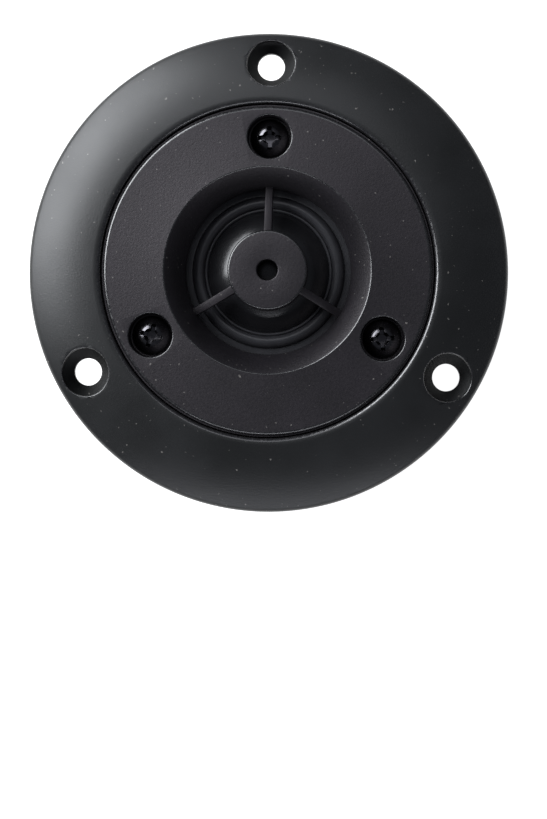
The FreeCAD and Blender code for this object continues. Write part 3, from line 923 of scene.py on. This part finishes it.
def build_horn_plate():
    """The horn plate moulding: disc, horn mouth, screw pillars, spokes and phase plug."""
    piece = lathe("horn_plate_moulding", horn_outline())
    for angle in SCREW_ANGLES:
        pillar = lathe("pillar", rod_outline(SCREW_BOSS_R, LEDGE_TOP, DISC_UNDER + 1), 96)
        pillar = put(pillar, SCREW_PITCH_R, angle)
        core = lathe("core", rod_outline(TUBE_R - 0.8, 20, 31), 120)
        combine(pillar, core, "DIFFERENCE")
        combine(piece, pillar, "UNION")
    plug = lathe("plug", plug_outline(), 160)
    for angle in SCREW_ANGLES:
        combine(plug, put(spoke_web(), twist=angle), "UNION")
    combine(piece, plug, "UNION")
    for angle in SCREW_ANGLES:
        combine(piece, put(recess_cutter(), SCREW_PITCH_R, angle), "DIFFERENCE")

    def is_rubbed(point):
        around = math.hypot(point.x, point.y)
        away = nearest(point, SCREW_PITCH_R)
        rim = around > DISC_R - DISC_ROUND + 0.05 and point.z > FACE - DISC_ROUND
        mouth = MOUTH_R - 0.335 < around < MOUTH_R - 0.005 and point.z > FACE + 0.385
        below = FACE + face_rise(around) - point.z
        recess = RECESS_R < away < RECESS_R + 0.25 and 0.005 < below < 0.25
        plug = PLUG_R - PLUG_ROUND + 0.01 < around < PLUG_R and point.z > PLUG_TOP - 0.6
        return rim or mouth or recess or plug

    raise_face(piece)
    shade(piece)
    finish_piece(piece, HORN_SKIN, "driver_frame", ["horn_plate"])
    rub_edges(piece, is_rubbed)


# ---------------------------------------------------------------- assembly screws
def driver_blade(twist):
    """One tapered blade of the cross recess, shaped from a cube."""
    top = high("assembly_screw_1")
    deselect_everything()
    bpy.ops.mesh.primitive_cube_add(size=1)
    blade = bpy.context.object
    blade.scale = (5.5 * MM, 1.0 * MM, 2.4 * MM)
    blade.location = (0, 0, (top - 1.0) * MM)
    bpy.ops.object.transform_apply(location=True, rotation=True, scale=True)
    bpy.ops.object.mode_set(mode="EDIT")
    bpy.ops.mesh.select_mode(type="FACE")
    bpy.ops.mesh.select_all(action="DESELECT")
    bpy.ops.object.mode_set(mode="OBJECT")
    for face in blade.data.polygons:
        face.select = face.normal.z < -0.9
    bpy.ops.object.mode_set(mode="EDIT")
    bpy.ops.transform.resize(value=(0.62, 0.75, 1))
    bpy.ops.mesh.select_mode(type="VERT")
    bpy.ops.object.mode_set(mode="OBJECT")
    return put(blade, twist=twist)


def build_screw(number, angle, twist):
    """One round-head screw with a tapered cross recess that has rolled edges."""
    top = high("assembly_screw_1")
    tip = low("assembly_screw_1")
    outline = [(0, tip), (SCREW_SHANK_R - 0.4, tip), (SCREW_SHANK_R, tip + 0.4)]
    outline.append((SCREW_SHANK_R, SCREW_SEAT))
    rim = (SCREW_HEAD_R - SCREW_HEAD_ROUND, SCREW_SEAT + SCREW_HEAD_ROUND)
    outline += arc(rim, SCREW_HEAD_ROUND, -90, 0, 3)
    outline += arc((0, top - SCREW_HEAD_DOME), SCREW_HEAD_DOME, 32.3, 90, 22)
    piece = lathe(f"assembly_screw_head_{number}", outline, 96)
    cross = driver_blade(twist)
    combine(cross, driver_blade(twist + 90), "UNION")
    combine(piece, cross, "DIFFERENCE")
    well = lathe("well", [(0, top - 2.4), (0.9, top - 2.4), (1.55, top + 0.2), (0, top + 0.2)], 32)
    combine(piece, well, "DIFFERENCE")
    soften(piece, 0.15, 3, 40)
    put(piece, SCREW_PITCH_R, angle)
    shade(piece)
    finish_piece(piece, SCREW_STEEL, "driver_frame", [f"assembly_screw_{number}"])


# ---------------------------------------------------------------- diaphragm
def build_dome():
    """The thin glossy cap, with a wall thickness, out to where it meets the roll."""
    centre = DOME_TOP - DOME_SPHERE
    rim = math.degrees(math.acos(DOME_BASE_R / DOME_SPHERE))
    inner = DOME_SPHERE - 0.25
    inner_rim = math.degrees(math.acos(DOME_BASE_R / inner))
    outline = arc((0, centre), DOME_SPHERE, 90, rim, 30)
    outline += arc((0, centre), inner, inner_rim, 90, 30)
    piece = lathe("dome_cap", outline, 160)
    shade(piece)
    finish_piece(piece, DOME_FILM, "diaphragm", ["dome"])


def roll_half(start, end, lift):
    """Part of the half roll's arc between its two feet, lifted by the film for its upper face."""
    middle = 0.5 * (BEAD_OUT_R + ROLL_OUT_R)
    half = 0.5 * (ROLL_OUT_R - BEAD_OUT_R)
    points = []
    for step in range(13):
        turn = math.radians(start + (end - start) * step / 12)
        base = FORMER_TOP + (RING_TOP - FORMER_TOP) * (1 - math.cos(turn)) / 2
        height = (ROLL_TOP - FILM - 0.5 * (FORMER_TOP + RING_TOP)) * math.sin(turn)
        points.append((middle - half * math.cos(turn), base + height + lift))
    return points


def build_surround():
    """The flexing roll, in two rings that meet at its crest: the inner one, with the glue bead
    at the dome's foot, moves with the coil, and the outer one reaches down to its glued rim."""
    inner = []
    for step in range(9):
        turn = math.pi * step / 8
        radius = 0.5 * (DOME_BASE_R + BEAD_OUT_R) - 0.5 * (BEAD_OUT_R - DOME_BASE_R) * math.cos(turn)
        inner.append((radius, FORMER_TOP + FILM + BEAD_HEIGHT * math.sin(turn)))
    inner += roll_half(0, 90, FILM)[1:]
    inner += list(reversed(roll_half(0, 90, 0.0))) + [(DOME_BASE_R, FORMER_TOP)]
    piece = lathe("surround_inner_roll", inner + inner[:1], 160)
    shade(piece, 60)
    finish_piece(piece, ROLL_FILM, "diaphragm", ["surround"])
    outer = roll_half(90, 176, FILM) + [(SURROUND_R, RING_TOP + FILM), (SURROUND_R, RING_TOP)]
    outer += list(reversed(roll_half(90, 180, 0.0)))
    piece = lathe("surround_outer_roll", outer + outer[:1], 160)
    shade(piece, 60)
    finish_piece(piece, ROLL_FILM, None, ["surround"])
    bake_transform(piece)


# ---------------------------------------------------------------- motor
def build_magnet():
    """The ferrite ring with worn bevels, chipped a little round both rims."""
    radius = reach("magnet")
    bottom = low("magnet")
    top = high("magnet")
    outline = [(MAGNET_BORE_R, bottom), (radius - 1.0, bottom)]
    outline += arc((radius - 0.8, bottom + 0.8), 0.8, -75, 0, 5)
    outline += [(radius, bottom + (top - bottom) * step / 8) for step in range(2, 7)]
    outline += arc((radius - 0.8, top - 0.8), 0.8, 0, 75, 5)
    outline += [(radius - 1.0, top), (MAGNET_BORE_R, top), (MAGNET_BORE_R, bottom)]
    piece = lathe("ferrite_ring", outline, 288)
    chips = bpy.data.textures.new("chips", "CLOUDS")
    chips.noise_scale = 1.6 * MM
    chips.noise_depth = 3
    apply_modifier(
        piece, "DISPLACE", texture=chips, texture_coords="LOCAL", strength=-0.12 * MM, mid_level=0.0,
    )
    shade(piece, 40)
    finish_piece(piece, FERRITE, "driver_frame", ["magnet"])


def build_steel_plates():
    """The stamped top plate and the turned back plate, each with eased rims."""
    radius = reach("top_plate")
    bottom = low("top_plate")
    top = high("top_plate")
    outline = [(TOP_PLATE_BORE_R, bottom), (radius - 0.5, bottom)]
    outline += arc((radius - 0.35, bottom + 0.35), 0.35, -70, 0, 3)
    outline += arc((radius - 0.5, top - 0.5), 0.5, 0, 80, 4)
    outline += [(TOP_PLATE_BORE_R, top), (TOP_PLATE_BORE_R, bottom)]
    piece = lathe("stamped_top_plate", outline)
    for angle in SCREW_ANGLES:
        hole = lathe("tapped_hole", rod_outline(SCREW_SHANK_R, 14, 22), 48)
        combine(piece, put(hole, SCREW_PITCH_R, angle), "DIFFERENCE")
    shade(piece)
    finish_piece(piece, SHEARED_STEEL, "driver_frame", ["top_plate"])
    radius = reach("back_plate")
    top = high("back_plate")
    outline = [(SPIGOT_R, 0), (radius - 0.7, 0)]
    outline += arc((radius - 0.6, 0.6), 0.6, -80, 0, 5)
    outline += arc((radius - 0.6, top - 0.6), 0.6, 0, 80, 5)
    outline += [(SPIGOT_R, top), (SPIGOT_R, 0)]
    piece = lathe("turned_back_plate", outline)
    shade(piece)
    finish_piece(piece, ZINC_STEEL, "driver_frame", ["back_plate"])


def build_glue():
    """A lumpy bead of adhesive squeezed out round the top plate's foot."""
    radius = reach("top_plate")
    foot = high("magnet")
    outline = [(radius - 0.2, foot - 0.1)]
    outline += arc((radius, foot - 0.05), 0.62, 0, 90, 6)
    outline += [(radius - 0.2, foot + 0.55), (radius - 0.2, foot - 0.1)]
    piece = lathe("glue_bead", outline, 300)
    lumps = bpy.data.textures.new("lumps", "CLOUDS")
    lumps.noise_scale = 2.4 * MM
    lumps.noise_depth = 2
    apply_modifier(
        piece, "DISPLACE", texture=lumps, texture_coords="LOCAL", strength=0.7 * MM, mid_level=0.5,
    )
    shade(piece, 70)
    finish_piece(piece, ADHESIVE, "driver_frame", [])


# ---------------------------------------------------------------- terminals
def build_terminal(side, angle):
    """One push-on tab: a rounded blade with a slot, a shoulder, a neck and an inward lug."""
    end = low("terminal_positive")
    lug_top = high("terminal_positive")
    half = [(y, z) for y, z in arc((1.2, end + 1.2), 1.2, -90, 0, 6)]
    half += [(TAB_HALF, end + 2.6), (TAB_HALF, TAB_SHOULDER - 0.6)]
    half += [(NECK_HALF, TAB_SHOULDER), (NECK_HALF, lug_top)]
    outline = [(TAB_IN_X, y, z) for y, z in half] + [(TAB_IN_X, -y, z) for y, z in reversed(half)]
    piece = plate(f"terminal_tab_{side}", outline, (TAB_THICK, 0, 0))
    slot = arc((0, SLOT_LOW), SLOT_R, 180, 360, 10) + arc((0, SLOT_HIGH), SLOT_R, 0, 180, 10)
    slot = plate("slot", [(TAB_IN_X - 1, y, z) for y, z in slot], (3, 0, 0))
    combine(piece, slot, "DIFFERENCE")
    under = lug_top - TAB_THICK
    root_x = TAB_IN_X + 0.5 * TAB_THICK
    corners = ((LUG_IN_X, -LUG_HALF), (root_x, -LUG_HALF), (root_x, LUG_HALF), (LUG_IN_X, LUG_HALF))
    lug = plate("lug", [(x, y, under) for x, y in corners], (0, 0, TAB_THICK))
    combine(piece, lug, "UNION")
    soften(piece, 0.1, 2, 40)
    put(piece, twist=angle)
    shade(piece)
    finish_piece(piece, TINNED_BRASS, "driver_frame", [f"terminal_{side}"])


build_flange()
build_horn_plate()
for number, (angle, twist) in enumerate(zip(SCREW_ANGLES, SCREW_TWISTS), 1):
    build_screw(number, angle, twist)
build_dome()
build_surround()
build_magnet()
build_steel_plates()
build_glue()
for side, angle in (("positive", 0), ("negative", 180)):
    build_terminal(side, angle)

# ---------------------------------------------------------------- hidden parts keep their CAD shape
hidden = {
    "pole_piece": ZINC_STEEL,
    "coil_former": FOIL,
    "coil_winding": COPPER,
    "diaphragm_ring": HORN_SKIN,
    "diaphragm_gasket": NITRILE,
    "damping_pad": FELT,
    "lead_wire_positive": TINNED_BRASS,
    "lead_wire_negative": TINNED_BRASS,
    "coil_lead_positive": COPPER,
    "coil_lead_negative": COPPER,
}
for node, material in hidden.items():
    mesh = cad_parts[node].data
    mesh.materials.clear()
    mesh.materials.append(material)


# ---------------------------------------------------------------- studio
def build_floor():
    """A broad sheet of pale paper under the tweeter."""
    deselect_everything()
    bpy.ops.mesh.primitive_plane_add(size=12)
    floor = bpy.context.object
    floor.name = "floor"
    floor.data.materials.append(PAPER)


def add_softbox(name, turn, rise, distance, size, watts, colour):
    """A soft light of a width and height by its direction in degrees, aimed at the face."""
    aim = Vector((0, 0, AIM * MM))
    across = math.cos(math.radians(rise))
    away = Vector((
        across * math.cos(math.radians(turn)),
        across * math.sin(math.radians(turn)),
        math.sin(math.radians(rise)),
    ))
    lamp = bpy.data.lights.new(name, "AREA")
    lamp.shape = "RECTANGLE"
    lamp.size, lamp.size_y = size
    lamp.energy = watts
    lamp.color = linear(colour)[:3]
    holder = bpy.data.objects.new(name, lamp)
    holder.location = aim + away * distance
    side = Vector((0, 0, 1)).cross(away).normalized()
    turned = Matrix((side, away.cross(side), away)).transposed().to_4x4()
    holder.matrix_world = Matrix.Translation(holder.location) @ turned
    bpy.context.scene.collection.objects.link(holder)


def build_lights():
    """A window-like softbox at upper left, weak ones below and high above, and a dim pale room."""
    add_softbox("window", 150, 34, 0.62, (0.62, 0.34), 6.9, "#f8fbff")
    add_softbox("low_fill", 272, 28, 0.6, (0.7, 0.1), 1.1, "#f6f8ff")
    add_softbox("upper_fill", 95, 62, 0.6, (0.4, 0.25), 0.42, "#f6f8ff")
    world = bpy.data.worlds.new("studio")
    world.use_nodes = True
    room = world.node_tree.nodes["Background"]
    room.inputs["Color"].default_value = linear("#e4eafa")
    room.inputs["Strength"].default_value = 0.14
    bpy.context.scene.world = world
    bpy.context.scene.view_settings.view_transform = "Standard"


def build_camera():
    """Almost straight above the face, a little towards -Y and +X of the axis."""
    south = math.radians(3.0)
    east = math.radians(1.7)
    away = Vector((math.tan(east), -math.tan(south), 1)).normalized()
    lens = bpy.data.cameras.new("camera")
    lens.lens = 77.87
    lens.sensor_width = 36
    lens.shift_x = 0.0077
    lens.shift_y = -0.1706
    holder = bpy.data.objects.new("camera", lens)
    right = Vector((0, 1, 0)).cross(away).normalized()
    turn = Matrix((right, away.cross(right), away)).transposed().to_4x4()
    roll = Matrix.Rotation(math.radians(0.9), 4, "Z")
    holder.matrix_world = Matrix.Translation(Vector((0, 0, AIM * MM)) + away * 0.35) @ turn @ roll
    bpy.context.scene.collection.objects.link(holder)
    bpy.context.scene.camera = holder


build_floor()
build_lights()
build_camera()
